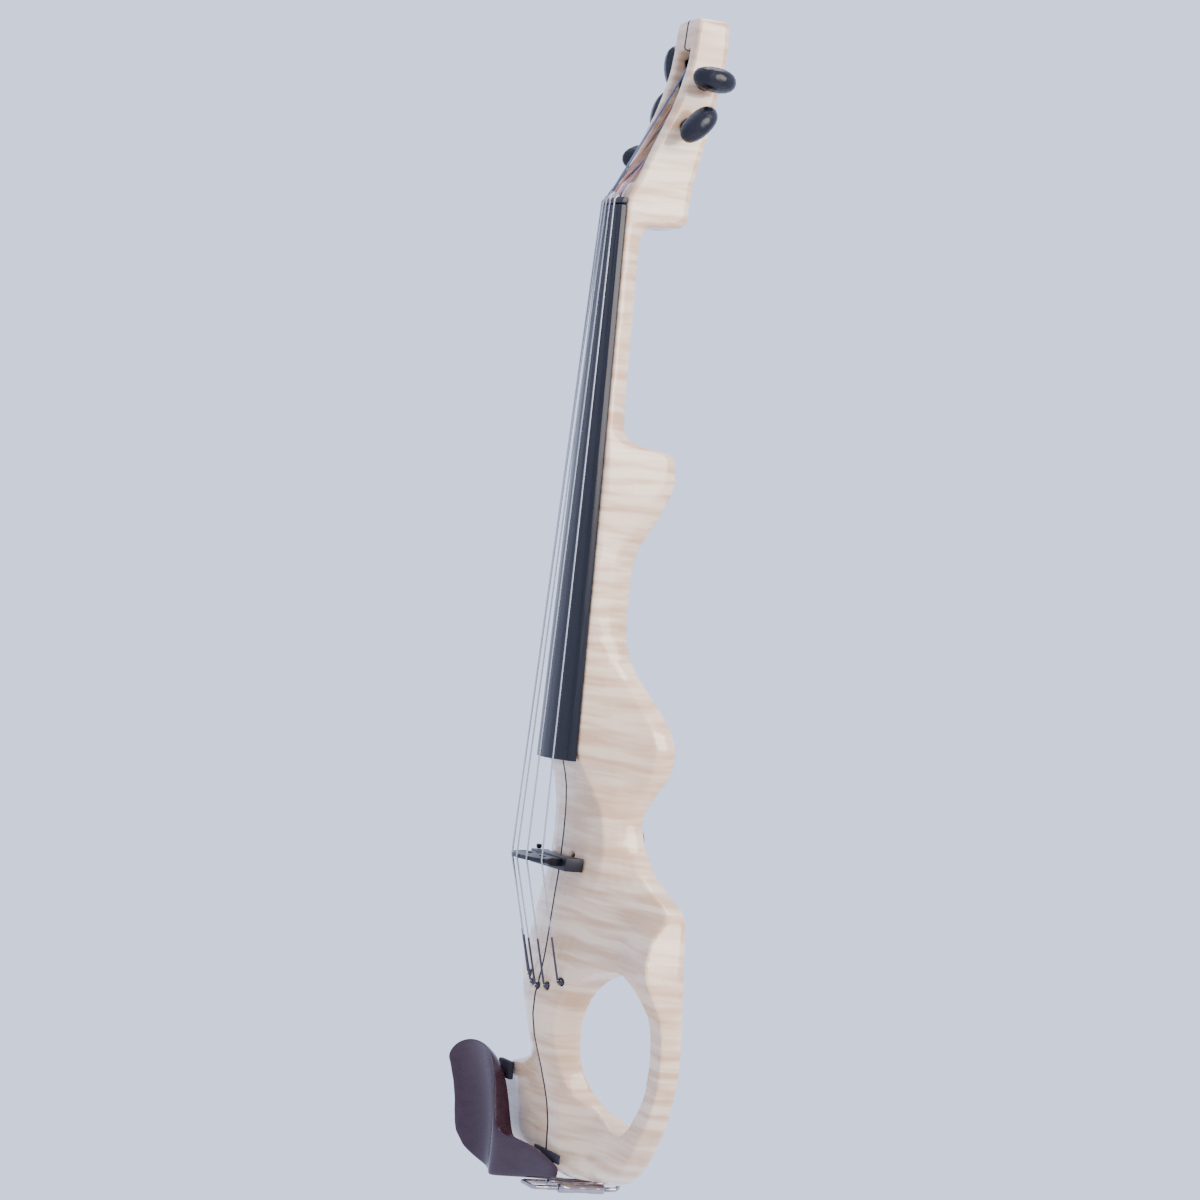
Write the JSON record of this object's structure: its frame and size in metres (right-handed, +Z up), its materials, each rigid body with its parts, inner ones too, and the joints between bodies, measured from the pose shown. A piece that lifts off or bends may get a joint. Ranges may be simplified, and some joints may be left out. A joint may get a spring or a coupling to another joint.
{
  "type": "electric violin",
  "caption": "Slim solid-body electric violin in pale figured maple, with a looped treble bout, chin rest on a screw clamp, arched bridge and tuning pegs.",
  "frame": {"origin": "hanging point in the middle of the flat top of the head, on the glue line", "axes": "+Z up along the neck towards the head, -Y out of the playing side where the strings run, +Y out of the back, +X to the treble side"},
  "size_m": [0.1695, 0.0691, 0.5906],
  "materials": {
    "maple": "clear gloss lacquer over flamed maple",
    "veneer": "thin dyed veneer on the glue line, lacquered",
    "ebony": "polished black ebony",
    "bridge_black": "satin black",
    "rosewood": "oiled dark rosewood, satin",
    "string_steel": "flat-wound steel",
    "chrome": "polished plating",
    "cork": "matt black cork and leather",
    "insulation": "black wire insulation"
  },
  "bodies": {
    "violin": {"body_treble_half": "maple", "body_bass_half": "maple", "center_veneer": "veneer", "fingerboard": "ebony", "nut": "ebony", "bridge_foot_block": "bridge_black", "bridge_blade": "bridge_black", "bridge_lead_stub": "bridge_black", "string_1": "string_steel", "string_2": "string_steel", "string_3": "string_steel", "string_4": "string_steel", "string_5": "string_steel", "string_ferrule_1": "chrome", "string_ferrule_2": "chrome", "string_ferrule_3": "chrome", "string_ferrule_4": "chrome", "string_ferrule_5": "chrome", "string_ball_1": "chrome", "string_ball_2": "chrome", "string_ball_3": "chrome", "string_ball_4": "chrome", "string_ball_5": "chrome", "chin_rest": "rosewood", "cork_end_pad": "cork", "cork_wing_pad": "cork", "clamp_upper_bracket": "chrome", "output_jack_socket": "chrome", "output_jack_nut": "chrome", "pickup_lead": "insulation"},
    "peg_1": {"peg_1": "ebony"},
    "peg_2": {"peg_2": "ebony"},
    "peg_3": {"peg_3": "ebony"},
    "peg_4": {"peg_4": "ebony"},
    "peg_5": {"peg_5": "ebony"},
    "clamp_barrel_1": {"clamp_barrel_1": "chrome"},
    "clamp_barrel_2": {"clamp_barrel_2": "chrome"},
    "clamp_foot": {"clamp_lower_bracket": "chrome"}
  },
  "joints": [
    {"name": "peg_1_turn", "type": "hinge", "parent": "violin", "child": "peg_1", "pos_m": [0, -0.014, -0.068], "axis": [1, 0, 0], "continuous": true},
    {"name": "peg_2_turn", "type": "hinge", "parent": "violin", "child": "peg_2", "pos_m": [0, -0.0085, -0.0555], "axis": [1, 0, 0], "continuous": true},
    {"name": "peg_3_turn", "type": "hinge", "parent": "violin", "child": "peg_3", "pos_m": [0, -0.005, -0.0445], "axis": [1, 0, 0], "continuous": true},
    {"name": "peg_4_turn", "type": "hinge", "parent": "violin", "child": "peg_4", "pos_m": [0, -0.0025, -0.0325], "axis": [1, 0, 0], "continuous": true},
    {"name": "peg_5_turn", "type": "hinge", "parent": "violin", "child": "peg_5", "pos_m": [0, -0.0005, -0.021], "axis": [1, 0, 0], "continuous": true},
    {"name": "clamp_barrel_1_turn", "type": "hinge", "parent": "violin", "child": "clamp_barrel_1", "pos_m": [-0.004, -0.00625, -0.5874], "axis": [0, 1, 0], "range_deg": [0, 1028.7]},
    {"name": "clamp_barrel_2_turn", "type": "hinge", "parent": "violin", "child": "clamp_barrel_2", "pos_m": [0.012, -0.00625, -0.5874], "axis": [0, 1, 0], "range_deg": [0, 1028.7]},
    {"name": "clamp_foot_slide", "type": "slide", "parent": "violin", "child": "clamp_foot", "axis": [0, 1, 0], "range_m": [0, 0.004]}
  ],
  "couplings": [
    {"joint": "clamp_barrel_1_turn", "follows": "clamp_foot_slide", "rad_per_m": 4488},
    {"joint": "clamp_barrel_2_turn", "follows": "clamp_foot_slide", "rad_per_m": 4488}
  ]
}
